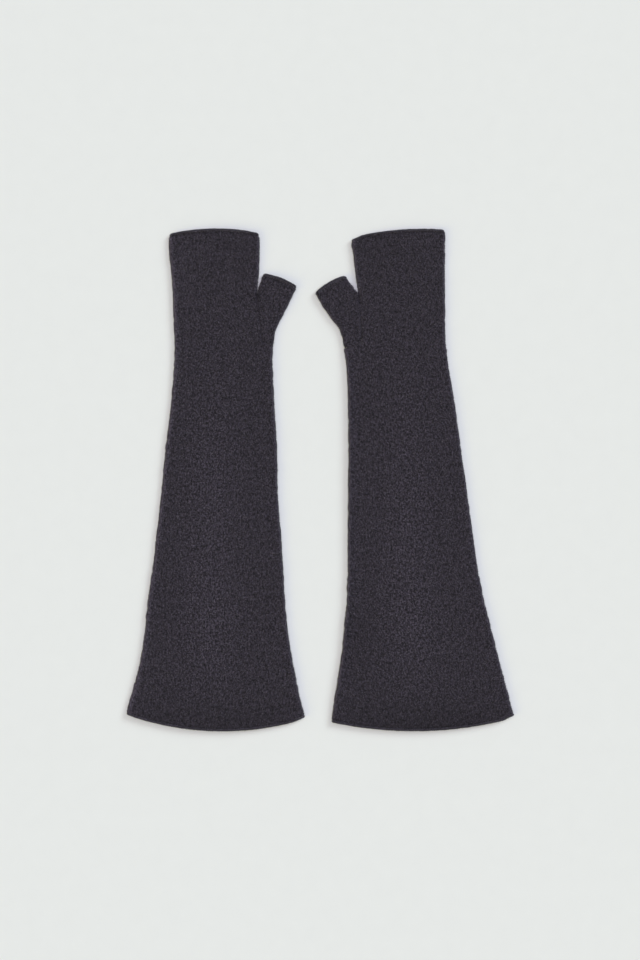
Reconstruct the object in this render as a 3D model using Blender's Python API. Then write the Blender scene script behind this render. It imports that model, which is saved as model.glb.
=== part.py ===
"""A pair of long fingerless arm warmers in felted knit, each with a short thumb and a flared arm end.

Blender 4.5, metres.  They lie flat on z = 0, +Y points to the fingers and the left-hand warmer is on
-X.  Each warmer is two panels linked along both sides, a thumb linked into the opening that the
panels leave, and three bound-off rims.
"""

from bisect import bisect_right
from collections import namedtuple
from itertools import accumulate
from math import cos, hypot, pi, sin, sqrt

import bmesh
import bpy

MM = 0.001

# The cloth, in millimetres.
WALL = 2.0
AIR = 0.6  # between the two layers of the empty tube
SEAM_GAP = 0.3
RIM_WIDTH = 2.4
RIM_WALL = 2.1
RIM_BEVEL = 0.4
END_CORNER = 4.0  # radius where a finger or arm rim meets a side
THUMB_CORNER = 2.2
THUMB_CROWN = 0.2
HALF = WALL + AIR / 2  # height of the middle plane, where the side seams run

# How finely the sections are divided.
FOLD_STEPS = 3
PANEL_SHARES = (0.14, 0.26, 0.38, 0.5, 0.62, 0.74, 0.86)

# One knitted course of a warmer, from its outer side to its thumb side.  along is the mean y of its
# two ends, skew how much further up the thumb end is, and bow how much further up the middle is.
# outer and thumb are the distances of the two ends from the line midway between the warmers.  crown
# is how far the upper layer rises in the middle, and folded is 0 where the thumb side is open for
# the thumb, 1 where the panels turn down to meet each other.
Course = namedtuple("Course", "along skew bow outer thumb crown folded")

LEFT_COURSES = (
    Course(-226.4, -4.2, -13.6, 185.2, 14.1, 0.0, 1),
    Course(-203.7, -2.6, -12.8, 179.3, 19.8, 0.2, 1),
    Course(-181.0, -1.0, -11.6, 173.2, 24.5, 0.3, 1),
    Course(-146.5, 0.0, -9.6, 167.4, 30.3, 0.4, 1),
    Course(-112.1, 0.0, -7.4, 163.9, 33.7, 0.4, 1),
    Course(-77.7, 0.0, -5.4, 158.8, 35.6, 0.4, 1),
    Course(-43.3, 0.0, -3.8, 154.8, 37.9, 0.4, 1),
    Course(-8.9, 0.0, -2.4, 150.9, 40.6, 0.4, 1),
    Course(25.5, 0.0, -1.2, 147.8, 41.0, 0.3, 1),
    Course(59.8, 0.0, -0.4, 143.6, 42.8, 0.3, 1),
    Course(94.2, 0.0, 0.0, 140.2, 44.8, 0.2, 1),
    Course(117.1, 0.0, 0.0, 138.8, 45.6, 0.2, 1),
    Course(128.6, 0.0, 0.0, 138.7, 44.7, 0.2, 1),
    Course(129.8, 0.0, 0.0, 138.8, 50.0, 0.2, 0),
    Course(133.5, 0.0, 0.0, 138.9, 54.5, 0.2, 0),
    Course(139.0, 0.0, 0.0, 139.1, 55.6, 0.2, 0),
    Course(152.0, 0.0, 0.0, 139.6, 57.3, 0.2, 0),
    Course(166.0, 0.0, 0.0, 140.1, 58.9, 0.2, 0),
    Course(177.7, 0.0, 0.0, 140.4, 59.6, 0.2, 0),
    Course(180.2, 0.0, 0.0, 140.5, 59.9, 0.2, 1),
    Course(199.3, 0.2, 1.5, 142.0, 58.3, 0.2, 1),
    Course(216.5, 0.5, 3.0, 143.9, 57.7, 0.1, 1),
    Course(227.9, 0.8, 4.0, 144.2, 57.7, 0.1, 1),
    Course(235.4, 1.0, 4.5, 143.8, 58.4, 0.0, 1),
)
RIGHT_COURSES = (
    Course(-229.4, -4.0, -10.4, 185.2, 10.6, 0.0, 1),
    Course(-203.7, -2.8, -9.8, 179.2, 14.2, 0.2, 1),
    Course(-180.8, -2.0, -9.2, 173.0, 18.1, 0.3, 1),
    Course(-157.9, -1.0, -8.2, 167.2, 21.5, 0.4, 1),
    Course(-135.0, 0.0, -7.2, 161.5, 23.4, 0.4, 1),
    Course(-112.1, 0.0, -6.2, 155.9, 25.8, 0.4, 1),
    Course(-77.7, 0.0, -4.7, 149.4, 26.4, 0.4, 1),
    Course(-43.3, 0.0, -3.3, 144.5, 26.5, 0.4, 1),
    Course(-8.9, 0.0, -2.1, 140.0, 26.8, 0.4, 1),
    Course(25.5, 0.0, -1.1, 134.9, 27.2, 0.3, 1),
    Course(59.8, 0.0, -0.4, 130.4, 26.8, 0.3, 1),
    Course(82.8, 0.0, 0.0, 126.9, 26.5, 0.2, 1),
    Course(105.7, 0.0, 0.0, 122.9, 25.4, 0.2, 1),
    Course(125.7, 0.0, 0.0, 120.3, 23.3, 0.2, 1),
    Course(127.3, 0.0, 0.0, 120.1, 31.0, 0.2, 0),
    Course(131.0, 0.0, 0.0, 119.8, 37.5, 0.2, 0),
    Course(137.0, 0.0, 0.0, 119.5, 39.3, 0.2, 0),
    Course(150.0, 0.0, 0.0, 119.2, 38.6, 0.2, 0),
    Course(165.0, 0.0, 0.0, 119.2, 37.3, 0.2, 0),
    Course(176.2, 0.0, 0.0, 119.1, 36.5, 0.2, 0),
    Course(178.7, 0.0, 0.0, 119.1, 36.3, 0.2, 1),
    Course(199.3, -2.5, 0.8, 119.1, 33.7, 0.2, 1),
    Course(216.5, -4.8, 1.9, 119.4, 31.8, 0.1, 1),
    Course(227.9, -6.6, 2.9, 119.3, 30.4, 0.1, 1),
    Course(235.3, -7.3, 3.5, 118.9, 30.4, 0.0, 1),
)

# One course of a thumb after its seam.  share runs from 0 at the seam to 1 at the tip, hand is the
# end on the side of the fingers and outer the other, as distances from the middle line and y, and
# bow is how much nearer the tip its middle lies.
ThumbCourse = namedtuple("ThumbCourse", "share hand hand_y outer outer_y bow")

LEFT_THUMB = (
    ThumbCourse(0.22, 58.9, 183.2, 42.0, 143.2, 0.0),
    ThumbCourse(0.45, 57.9, 186.1, 35.3, 156.6, 0.6),
    ThumbCourse(0.68, 56.8, 189.2, 28.8, 169.8, 1.2),
    ThumbCourse(0.88, 55.5, 192.6, 24.1, 180.4, 1.7),
    ThumbCourse(1.00, 54.1, 196.8, 22.1, 184.4, 2.0),
)
RIGHT_THUMB = (
    ThumbCourse(0.22, 33.9, 181.5, 20.0, 139.4, 0.0),
    ThumbCourse(0.45, 31.8, 183.9, 12.8, 151.3, 0.6),
    ThumbCourse(0.68, 29.4, 187.1, 4.2, 162.8, 1.2),
    ThumbCourse(0.88, 26.9, 191.0, -2.6, 173.9, 1.7),
    ThumbCourse(1.00, 24.2, 194.6, -4.4, 178.0, 2.0),
)

# The knit's colour, and the rims' a little lighter, as linear RGB.
KNIT_COLOUR = (0.036, 0.032, 0.041)
RIM_COLOUR = (0.042, 0.038, 0.047)
KNIT_ROUGHNESS = 0.95

# A line across a piece: place gives its plan point at a share of its width.
Across = namedtuple("Across", "place width")
# How one layer is built there: its half height, wall, half of any gap in its sides, crown, and
# whether its first and last ends are folded (1) or cut (0).
Layer = namedtuple("Layer", "half wall split crown first last")
# A point of a layer's section: the share of the width and the height above the middle plane.
Spot = namedtuple("Spot", "share height")


def mixed(a, b, share):
    """The row of a table that lies this share of the way from row a to row b."""
    return type(a)(*(p + (q - p) * share for p, q in zip(a, b)))


def corner_inset(distance, radius):
    """How far a rounded corner is in from the side, at this distance from the end."""
    if distance >= radius:
        return 0.0
    return radius - sqrt(radius**2 - (radius - distance) ** 2)


def narrowed(across, inset):
    """The same line with both ends moved in."""
    trim = inset / across.width

    def place(share):
        return across.place(trim + share * (1 - 2 * trim))

    return Across(place, across.width - 2 * inset)


def course_across(course, side):
    """The line of a panel's course, from its outer side to its thumb side."""

    def place(share):
        t = 2 * share - 1
        x = side * (course.outer + (course.thumb - course.outer) * share)
        y = course.along + course.skew / 2 * t + course.bow * (1 - t * t)
        return x, y

    return Across(place, course.outer - course.thumb)


def end_course(courses, distance):
    """The course at this distance in from the first row of courses."""
    end, following = courses[0], courses[1]
    return mixed(end, following, distance / abs(following.along - end.along))


def layer_spots(width, shares, layer):
    """The outer and inner points of one layer's section, from its first end to its last."""
    outer, inner = [], []
    for step in range(FOLD_STEPS + 1):
        turn = pi / 2 * step / FOLD_STEPS
        rise = sin(turn)
        reach = 1 - cos(turn)
        flat = layer.half * step / FOLD_STEPS
        inside = layer.half - layer.wall
        outer.append((layer.half * reach, layer.split + (layer.half - layer.split) * rise, flat))
        inner.append((layer.wall + inside * reach, layer.split + (inside - layer.split) * rise, flat))

    def end(points, height, folded):
        return [
            (flat + (away - flat) * folded, height + (rise - height) * folded)
            for away, rise, flat in points
        ]

    def section(points, height):
        first = [Spot(away / width, z) for away, z in end(points, height, layer.first)]
        last = [Spot(1 - away / width, z) for away, z in end(points, height, layer.last)]
        middle = [Spot(share, height + layer.crown * sin(pi * share)) for share in shares]
        return first + middle + last[::-1]

    return section(outer, layer.half), section(inner, layer.half - layer.wall)


def placed(across, spots, facing):
    """The section's points in space, in millimetres: facing is 1 for the upper layer, -1 for the lower."""
    return [(*across.place(spot.share), HALF + facing * spot.height) for spot in spots]


def panel_loop(across, layer, facing):
    outer, inner = layer_spots(across.width, PANEL_SHARES, layer)
    return placed(across, outer, facing) + placed(across, inner, facing)[::-1]


def tube_loops(across, shares, layer):
    """The outer and inner loops of a flattened tube, upper layer first."""
    upper = layer_spots(across.width, shares, layer)
    lower = layer_spots(across.width, shares, layer._replace(crown=0.0))
    loops = []
    for top, bottom in zip(upper, lower):
        loops.append(placed(across, top, 1) + placed(across, bottom, -1)[-2:0:-1])
    return loops


def material(name, colour):
    made = bpy.data.materials.new(name)
    made.use_nodes = True
    shader = made.node_tree.nodes["Principled BSDF"]
    shader.inputs["Base Color"].default_value = (*colour, 1)
    shader.inputs["Roughness"].default_value = KNIT_ROUGHNESS
    shader.inputs["Metallic"].default_value = 0.0
    return made


def solid(name, loops, colour, ring):
    """A closed body through loops of equal length, which come back to the first if it is a ring."""
    bm = bmesh.new()
    rows = [[bm.verts.new([c * MM for c in point]) for point in loop] for loop in loops]
    size = len(rows[0])
    pairs = list(zip(rows, rows[1:]))
    if ring:
        pairs.append((rows[-1], rows[0]))
    for low, high in pairs:
        for i in range(size):
            j = (i + 1) % size
            bm.faces.new((low[i], low[j], high[j], high[i]))
    if not ring:
        for row in (rows[0], rows[-1]):
            for i in range(size // 2 - 1):
                bm.faces.new((row[i], row[i + 1], row[size - 2 - i], row[size - 1 - i]))
    bmesh.ops.recalc_face_normals(bm, faces=bm.faces)
    for face in bm.faces:
        face.smooth = True
    mesh = bpy.data.meshes.new(name)
    bm.to_mesh(mesh)
    bm.free()
    mesh.materials.append(material(name + "_knit", colour))
    made = bpy.data.objects.new(name, mesh)
    bpy.context.scene.collection.objects.link(made)
    return made


def tube(name, sections, shares, colour):
    """A tube wall through sections, each an Across and its Layer."""
    loops = [tube_loops(across, shares, layer) for across, layer in sections]
    outer = [pair[0] for pair in loops]
    inner = [pair[1] for pair in loops]
    return solid(name, outer + inner[::-1], colour, ring=True)


def make_panels(hand, side, courses):
    """The back and palm panels, between the finger and arm rims."""
    inset = RIM_WIDTH + SEAM_GAP
    first = end_course(courses, inset)
    last = end_course(courses[::-1], inset)
    trim = corner_inset(inset, END_CORNER)
    rows = [(first, trim)] + [(course, 0.0) for course in courses[1:-1]] + [(last, trim)]
    upper, lower = [], []
    for course, narrowing in rows:
        across = narrowed(course_across(course, side), narrowing)
        layer = Layer(HALF, WALL, SEAM_GAP / 2, course.crown, 1, course.folded)
        upper.append(panel_loop(across, layer, 1))
        lower.append(panel_loop(across, layer._replace(crown=0.0), -1))
    solid(hand + "_back_panel", upper, KNIT_COLOUR, ring=False)
    solid(hand + "_palm_panel", lower, KNIT_COLOUR, ring=False)


def rim_sections(line_at, corner, crown_at):
    """The rounded section of a rim: line_at and crown_at give its line and crown at a distance."""
    profile = (
        (0.0, RIM_BEVEL),
        (RIM_BEVEL, 0.0),
        (RIM_WIDTH - RIM_BEVEL, 0.0),
        (RIM_WIDTH, RIM_BEVEL),
    )
    for distance, bevel in profile:
        across = narrowed(line_at(distance), corner_inset(distance, corner))
        yield across, Layer(HALF - bevel, RIM_WALL - 2 * bevel, 0.0, crown_at(distance), 1, 1)


def make_end_rim(name, side, courses):
    """The rim along the first row of courses."""

    def line_at(distance):
        return course_across(end_course(courses, distance), side)

    def crown_at(distance):
        return end_course(courses, distance).crown

    sections = list(rim_sections(line_at, END_CORNER, crown_at))
    tube(name, sections, PANEL_SHARES, RIM_COLOUR)


def thumb_seam(courses):
    """The opening's edge from the crotch down to the side, as (distance, y), moved into the thumb."""
    cut = [i for i, course in enumerate(courses) if not course.folded]
    edge = [(c.thumb, c.along) for c in courses[cut[0] - 1 : cut[-1] + 2]][::-1]
    moved = []
    for i, (x, y) in enumerate(edge):
        before, after = edge[max(i - 1, 0)], edge[min(i + 1, len(edge) - 1)]
        run_x, run_y = after[0] - before[0], after[1] - before[1]
        length = hypot(run_x, run_y)
        moved.append((x + SEAM_GAP * run_y / length, y - SEAM_GAP * run_x / length))
    return moved


def seam_shares(seam):
    """How far along the seam each of its points lies, from 0 to 1."""
    steps = [hypot(b[0] - a[0], b[1] - a[1]) for a, b in zip(seam, seam[1:])]
    return [0.0] + [length / sum(steps) for length in accumulate(steps)]


def thumb_line(seam, thumb, share, side):
    """A thumb's course at a share of the way from seam to tip.

    It is the straight line between its two ends, with its own bow and what is left of the seam's belly.
    """
    (hand_x, hand_y), (outer_x, outer_y) = seam[0], seam[-1]
    rows = (ThumbCourse(0.0, hand_x, hand_y, outer_x, outer_y, 0.0), *thumb)
    k = min(bisect_right([row.share for row in rows], share), len(rows) - 1)
    low, high = rows[k - 1], rows[k]
    row = mixed(low, high, (share - low.share) / (high.share - low.share))
    marks = seam_shares(seam)
    run_x, run_y = row.outer - row.hand, row.outer_y - row.hand_y
    width = hypot(run_x, run_y)
    left = 1 - row.share

    def place(u):
        i = min(bisect_right(marks, u), len(marks) - 1)
        local = (u - marks[i - 1]) / (marks[i] - marks[i - 1])
        seam_x, seam_y = (a + (b - a) * local for a, b in zip(seam[i - 1], seam[i]))
        bow = row.bow * 4 * u * (1 - u) / width
        x = row.hand + run_x * u + bow * run_y
        y = row.hand_y + run_y * u - bow * run_x
        x += left * (seam_x - hand_x - (outer_x - hand_x) * u)
        y += left * (seam_y - hand_y - (outer_y - hand_y) * u)
        return side * x, y

    return Across(place, width)


def make_thumb(hand, side, courses, thumb):
    """The thumb's gusset and tube, and the rim at its tip."""
    seam = thumb_seam(courses)
    shares = seam_shares(seam)[1:-1]
    before, tip = thumb[-2], thumb[-1]
    per_mm = (tip.share - before.share) / hypot(tip.hand - before.hand, tip.hand_y - before.hand_y)

    def line_at(distance):
        return thumb_line(seam, thumb, 1 - distance * per_mm, side)

    def crown_at(distance):
        return THUMB_CROWN * distance * per_mm

    stops = [0.0] + [row.share for row in thumb[:-1]]
    sections = [
        (
            thumb_line(seam, thumb, share, side),
            Layer(HALF, WALL, 0.0, THUMB_CROWN * sin(pi * share), 1, 1),
        )
        for share in stops
    ]
    inset = RIM_WIDTH + SEAM_GAP
    end = narrowed(line_at(inset), corner_inset(inset, THUMB_CORNER))
    sections.append((end, Layer(HALF, WALL, 0.0, crown_at(inset), 1, 1)))
    tube(hand + "_thumb", sections, shares, KNIT_COLOUR)
    rim = list(rim_sections(line_at, THUMB_CORNER, crown_at))
    tube(hand + "_thumb_rim", rim, shares, RIM_COLOUR)


def make_warmer(hand, side, courses, thumb):
    make_panels(hand, side, courses)
    make_end_rim(hand + "_arm_rim", side, courses)
    make_end_rim(hand + "_finger_rim", side, courses[::-1])
    make_thumb(hand, side, courses, thumb)


def main():
    for old in list(bpy.data.objects):
        bpy.data.objects.remove(old, do_unlink=True)
    make_warmer("left", -1, LEFT_COURSES, LEFT_THUMB)
    make_warmer("right", 1, RIGHT_COURSES, RIGHT_THUMB)


main()
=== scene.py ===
"""The looks of a pair of long fingerless arm warmers in charcoal felted knit, laid flat on a pale floor.

Each warmer is a flat tube: a back panel and a palm panel linked along both sides, a thumb linked
into the opening that they leave, and a bound-off rim round its finger, thumb and arm ends.  The
distances here are in millimetres and become metres when a mesh is made, but those of the camera and
the floor are metres.  +Y points to the fingers, and the warmer on -X is the left one.
"""

from collections import namedtuple
from functools import partial
from math import pi, radians

import bpy
import numpy as np
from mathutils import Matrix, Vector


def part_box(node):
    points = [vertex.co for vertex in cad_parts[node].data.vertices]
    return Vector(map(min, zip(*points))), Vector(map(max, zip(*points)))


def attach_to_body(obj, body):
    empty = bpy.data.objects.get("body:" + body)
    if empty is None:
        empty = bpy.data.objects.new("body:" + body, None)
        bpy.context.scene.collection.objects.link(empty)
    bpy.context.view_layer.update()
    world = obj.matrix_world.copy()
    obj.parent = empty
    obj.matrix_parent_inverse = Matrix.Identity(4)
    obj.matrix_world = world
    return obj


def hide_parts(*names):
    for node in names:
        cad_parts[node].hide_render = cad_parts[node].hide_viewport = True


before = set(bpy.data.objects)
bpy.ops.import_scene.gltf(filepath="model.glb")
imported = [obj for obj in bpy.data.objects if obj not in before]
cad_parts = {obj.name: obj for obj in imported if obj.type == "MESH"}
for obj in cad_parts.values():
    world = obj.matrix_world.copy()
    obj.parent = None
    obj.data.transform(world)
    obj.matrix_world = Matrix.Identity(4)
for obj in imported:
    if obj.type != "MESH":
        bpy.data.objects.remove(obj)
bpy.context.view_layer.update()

MM = 0.001

# The cloth.
WALL = 1.9  # one layer of knit
HALF = 2.3  # height of the middle plane, where the side seams run
CLOSED_GAP = 0.06  # between edges that stitches draw together
RIM_WIDTH = 2.4
RIM_GROOVE = 0.40  # depth of the dip between a rim and the cloth
DIP_WIDTH = 1.5  # how far that dip and the thumb seam's reach into the cloth
# The next three set the painted shade in the dip beside each rim.
GROOVE_PAINTED_SHADE = {"finger": 0.24, "arm": 0.05, "thumb": 0.14}  # share of its lightness that the dip loses
GROOVE_HALF = 0.5  # how far the full shade reaches into the cloth
GROOVE_FADE = 2.4  # and how much further until it is gone
# Painted light: the arm rim is made lighter, as if lit by the fill lamp that it faces, which also undoes
# the darker patch at the hem.
RIM_PAINTED_LIGHT = {"finger": 1.0, "arm": 1.26, "thumb": 1.0}  # how light each rim is beside the knit round it
DROP_WIDTH = 7  # how far along the end a corner draws it back
DROP_LENGTH = 14  # and how far up the cloth
CREASE_BEND = 0.12  # how far a crease bows out, as a share of its length
CREASE_ARC = 2.2  # radians of a sine wave that the bow follows
THUMB_CROWN = 0.2  # rise of the middle of a thumb's upper layer

# Below the thumb, the upper layer swells beside its fold by the warmer's thumb_side_lift.
LIFT_IN = 1.5  # from the edge to the top of the swelling
LIFT_WIDTH = 5.0
LIFT_FADE_ARM = 30.0  # how far it takes to rise from the arm end
LIFT_FADE_THUMB = 25.0  # and to sink again towards the thumb

# The unevenness of the felt, of a folded side and of a rim: the size of the lumps, and about how far
# apart they are.
Lumps = namedtuple("Lumps", "size cell")

FELT_LUMPS = (Lumps(0.07, 2.3), Lumps(0.07, 6.0), Lumps(0.16, 34.0))
FOLD_LUMPS = (Lumps(0.48, 2.3), Lumps(0.24, 6.5))
FOLD_SUNK = 0.16  # how much lower a fold lies than without them
FOLD_REACH = 2.6  # how far in from the edge they fade
RIM_LUMPS = (Lumps(0.16, 1.7), Lumps(0.20, 4.5))
CHAIN_LUMP = 0.10  # on a rim, under each pair of lobes of its chain

# How finely it is modelled.
ROW_STEP = 1.4
FINE_STEP = 0.3  # beside a rim, and where the thumb's opening ends
STEP_GROWTH = 0.22  # how much longer a step is for each mm away from those places
PALM_ROW_STEP = 2.4
FOLD_STEPS = 6
BACK_COLUMNS = 104
PALM_COLUMNS = 56
THUMB_COLUMNS = 44
THUMB_STEP = 1.15
THUMB_FIRST_ROWS = np.array([0.0, 0.35, 0.75, 1.2, 1.8])  # from the seam
THUMB_LAST_ROWS = np.array([1.3, 0.8, 0.4, 0.0])  # short of the rim
RIM_STEP = 0.7

# The bound-off chain: its lobes run from the edge and from the inner side of a rim to its middle.
CHAIN_PITCH = 2.0
CHAIN_YARN = 0.36
CHAIN_ARCH = 0.22
CHAIN_EDGE = 0.25
CHAIN_MIDDLE = 0.95
CHAIN_INNER = 1.65
LOBE_REACH = 1.55  # how many pitches a lobe runs on

# The linking stitches.
LINK_PITCH = 2.3
LINK_YARN = 0.26
LINK_ARCH = 0.15
LINK_RISE = 0.75  # half the height of a stitch over a side seam
LINK_SLANT = 0.35  # and half of what it runs on along the seam
LINK_ENDS = (-0.95, 0.65)  # from the thumb's seam to both ends of a stitch over it

# The fuzz on a piece: the number of its fibres, their length and how far they stand up.
Fuzz = namedtuple("Fuzz", "fibres length lift")

RIM_FUZZ = {"finger": Fuzz(1500, 1.3, 0.2), "arm": Fuzz(3000, 1.3, 0.2), "thumb": Fuzz(600, 1.3, 0.2)}
BACK_FUZZ = Fuzz(52000, 1.8, 0.18)
PALM_FUZZ = Fuzz(12000, 1.7, 0.16)
THUMB_FUZZ = Fuzz(5000, 1.6, 0.16)
FOLD_FUZZ = 7.0  # how much more of it grows on a fold
FIBRE_HALF_WIDTH = 0.026
CLEAR_OF_FLOOR = 0.02  # the least height of fibres and stitches


def table(kind, *rows):
    """The rows of a table, with the columns of their kind."""
    return tuple(kind(*row) for row in rows)


# One knitted course, as part.py has it: along is the mean y of its two ends, outer and thumb are their
# distances from the line midway between the warmers, and crown is the rise of the upper layer.  bow is
# how much further up the middle lies, and skew how much further up the thumb end does.
Course = namedtuple("Course", "along outer thumb crown bow skew", defaults=(0, 0, 0))

LEFT_COURSES = table(
    Course,
    (-226.4, 185.2, 14.1, 0, -13.6, -4.2),
    (-203.7, 179.3, 19.8, 0.2, -12.8, -2.6),
    (-181, 173.2, 24.5, 0.3, -11.6, -1),
    (-146.5, 167.4, 30.3, 0.4, -9.6),
    (-112.1, 163.9, 33.7, 0.4, -7.4),
    (-77.7, 158.8, 35.6, 0.4, -5.4),
    (-43.3, 154.8, 37.9, 0.4, -3.8),
    (-8.9, 150.9, 40.6, 0.4, -2.4),
    (25.5, 147.8, 41, 0.3, -1.2),
    (59.8, 143.6, 42.8, 0.3, -0.4),
    (94.2, 140.2, 44.8, 0.2),
    (117.1, 138.8, 45.6, 0.2),
    (128.6, 138.7, 44.7, 0.2),
    (129.8, 138.8, 50, 0.2),
    (133.5, 138.9, 54.5, 0.2),
    (139, 139.1, 55.6, 0.2),
    (152, 139.6, 57.3, 0.2),
    (166, 140.1, 58.9, 0.2),
    (177.7, 140.4, 59.6, 0.2),
    (180.2, 140.5, 59.9, 0.2),
    (199.3, 142, 58.3, 0.2, 1.5, 0.2),
    (216.5, 143.9, 57.7, 0.1, 3, 0.5),
    (227.9, 144.2, 57.7, 0.1, 4, 0.8),
    (235.4, 143.8, 58.4, 0, 4.5, 1),
)
RIGHT_COURSES = table(
    Course,
    (-229.4, 185.2, 10.6, 0, -10.4, -4),
    (-203.7, 179.2, 14.2, 0.2, -9.8, -2.8),
    (-180.8, 173, 18.1, 0.3, -9.2, -2),
    (-157.9, 167.2, 21.5, 0.4, -8.2, -1),
    (-135, 161.5, 23.4, 0.4, -7.2),
    (-112.1, 155.9, 25.8, 0.4, -6.2),
    (-77.7, 149.4, 26.4, 0.4, -4.7),
    (-43.3, 144.5, 26.5, 0.4, -3.3),
    (-8.9, 140, 26.8, 0.4, -2.1),
    (25.5, 134.9, 27.2, 0.3, -1.1),
    (59.8, 130.4, 26.8, 0.3, -0.4),
    (82.8, 126.9, 26.5, 0.2),
    (105.7, 122.9, 25.4, 0.2),
    (125.7, 120.3, 23.3, 0.2),
    (127.3, 120.1, 31, 0.2),
    (131, 119.8, 37.5, 0.2),
    (137, 119.5, 39.3, 0.2),
    (150, 119.2, 38.6, 0.2),
    (165, 119.2, 37.3, 0.2),
    (176.2, 119.1, 36.5, 0.2),
    (178.7, 119.1, 36.3, 0.2),
    (199.3, 119.1, 33.7, 0.2, 0.8, -2.5),
    (216.5, 119.4, 31.8, 0.1, 1.9, -4.8),
    (227.9, 119.3, 30.4, 0.1, 2.9, -6.6),
    (235.3, 118.9, 30.4, 0, 3.5, -7.3),
)

# One course of a thumb after its seam, as part.py has it: share runs from 0 at the seam to 1 at the
# tip, hand is the end on the side of the fingers and outer the other, as distances from the
# middle line and y, and bow is how much nearer the tip its middle lies.
ThumbCourse = namedtuple("ThumbCourse", "share hand hand_y outer outer_y bow")

LEFT_THUMB = table(
    ThumbCourse,
    (0.22, 58.9, 183.2, 42, 143.2, 0),
    (0.45, 57.9, 186.1, 35.3, 156.6, 0.6),
    (0.68, 56.8, 189.2, 28.8, 169.8, 1.2),
    (0.88, 55.5, 192.6, 24.1, 180.4, 1.7),
    (1, 54.1, 196.8, 22.1, 184.4, 2),
)
RIGHT_THUMB = table(
    ThumbCourse,
    (0.22, 33.9, 181.5, 20, 139.4, 0),
    (0.45, 31.8, 183.9, 12.8, 151.3, 0.6),
    (0.68, 29.4, 187.1, 4.2, 162.8, 1.2),
    (0.88, 26.9, 191, -2.6, 173.9, 1.7),
    (1, 24.2, 194.6, -4.4, 178, 2),
)

# A thumb's length is about half the way from this course's thumb end to the outer end of the tip.
GUSSET_COURSE = 12
GUSSET_RISE = 56.0  # how much further up the tip's outer end is

# A soft trough (depth below 0) or ridge between two places, each a distance from the middle line and y.
Crease = namedtuple("Crease", "start_x start_y end_x end_y depth width")

LEFT_BACK_CREASES = table(
    Crease,
    (59.8, 181, 58, 170, -0.95, 1.7),
    (57, 163, 56, 150, -0.35, 2.2),
    (54, 133, 62, 126, -0.40, 2.6),
    (46.5, 126, 51, 112, -0.25, 3),
    (66, 176, 98, 158, -0.22, 7),
    (78, 212, 84, 186, 0.20, 8),
    (124, 222, 128, 176, -0.20, 7),
    (137, 92, 118, 64, -0.24, 8),
    (52, 62, 74, 34, -0.22, 9),
    (104, 40, 106, -60, 0.24, 15),
    (140, -20, 122, -66, -0.22, 10),
    (48, -70, 66, -122, -0.24, 11),
    (110, -90, 112, -182, 0.26, 17),
    (150, -118, 158, -168, -0.22, 10),
    (34, -176, 62, -214, -0.24, 9),
)
RIGHT_BACK_CREASES = table(
    Crease,
    (36.6, 180, 38.6, 168, -0.80, 1.7),
    (38.6, 168, 39.6, 131, -0.45, 2),
    (38, 131, 46, 119, -0.42, 2.6),
    (41, 171, 66, 150, -0.22, 7),
    (52, 226, 56, 188, -0.20, 8),
    (100, 214, 96, 172, 0.20, 9),
    (116, 104, 98, 80, -0.24, 8),
    (30, 84, 46, 52, -0.22, 8),
    (80, 52, 84, -48, 0.24, 15),
    (128, -8, 112, -52, -0.22, 10),
    (34, -60, 50, -116, -0.24, 11),
    (92, -76, 100, -178, 0.26, 17),
    (142, -112, 154, -170, -0.22, 10),
    (26, -168, 50, -210, -0.24, 9),
    (150, -186, 132, -222, -0.20, 9),
)
LEFT_PALM_CREASES = table(
    Crease,
    (60, 176, 82, 150, 0.30, 5),
    (134, 130, 104, 112, 0.26, 6),
    (50, 20, 76, -14, 0.26, 8),
    (140, -62, 118, -110, 0.26, 9),
    (60, -140, 82, -196, 0.26, 9),
)
RIGHT_PALM_CREASES = table(
    Crease,
    (40, 168, 64, 146, 0.30, 5),
    (116, 148, 92, 122, 0.26, 6),
    (34, 32, 58, 2, 0.26, 8),
    (126, -48, 106, -98, 0.26, 9),
    (44, -132, 70, -192, 0.26, 9),
)

# A soft round patch, with the share that it adds to the knit's lightness and to the contrast of its
# texture.  The broad patches are where the nap lies differently; the small dark ones in the creases by
# the thumb are painted shade.
Patch = namedtuple("Patch", "x y wide tall lightness contrast")

LEFT_NAP_AND_SHADE = table(
    Patch,
    (106, -60, 24, 115, 0.17, 0.50),
    (104, -150, 30, 50, 0.08, 0.30),
    (100, 70, 24, 90, 0.03, 0.20),
    (134, 196, 16, 44, 0.07, -0.15),
    (76, 214, 30, 34, -0.03, -0.25),
    (56, 100, 12, 60, -0.04, 0),
    (100, -240, 110, 26, -0.20, -0.30),
    # Painted shade in the creases beside the thumb.
    (59, 176.5, 1.9, 3.6, -0.42, 0),
    (55, 134, 2.4, 2.6, -0.10, 0),
)
RIGHT_NAP_AND_SHADE = table(
    Patch,
    (82, -70, 24, 115, 0.15, 0.50),
    (92, -150, 30, 50, 0.06, 0.30),
    (78, 60, 22, 90, 0.02, 0.20),
    (108, 190, 20, 50, -0.01, -0.20),
    (50, 214, 26, 34, -0.05, -0.25),
    (34, -150, 18, 30, -0.12, 0),
    (98, -242, 110, 28, -0.30, -0.30),
    # Painted shade in the crease at the thumb's crotch.
    (36.6, 176, 1.5, 4, -0.25, 0),
)

# A warmer's corner has a radius, and near it the end's curve draws back by drop.  Each side has two,
# at the arm end and at the finger end.
Corner = namedtuple("Corner", "radius drop")

THUMB_CORNER = Corner(2.2, 0.0)

# Painted light along a fold, standing in for the sheen on its edge, strongest on the folds that face away
# from the key lamp: the share that it adds to the fold's lightness, and how far in.
Fold = namedtuple("Fold", "light reach")

# open_from and open_to are the courses between which the thumb side is open for the thumb.
# rim_reach is how far each rim stands out past the end that the courses give.
Warmer = namedtuple(
    "Warmer",
    "hand side courses thumb open_from open_to back_creases palm_creases nap seam_depth thumb_side_lift"
    " outer_corners thumb_corners outer_fold thumb_fold rim_reach",
)

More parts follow.
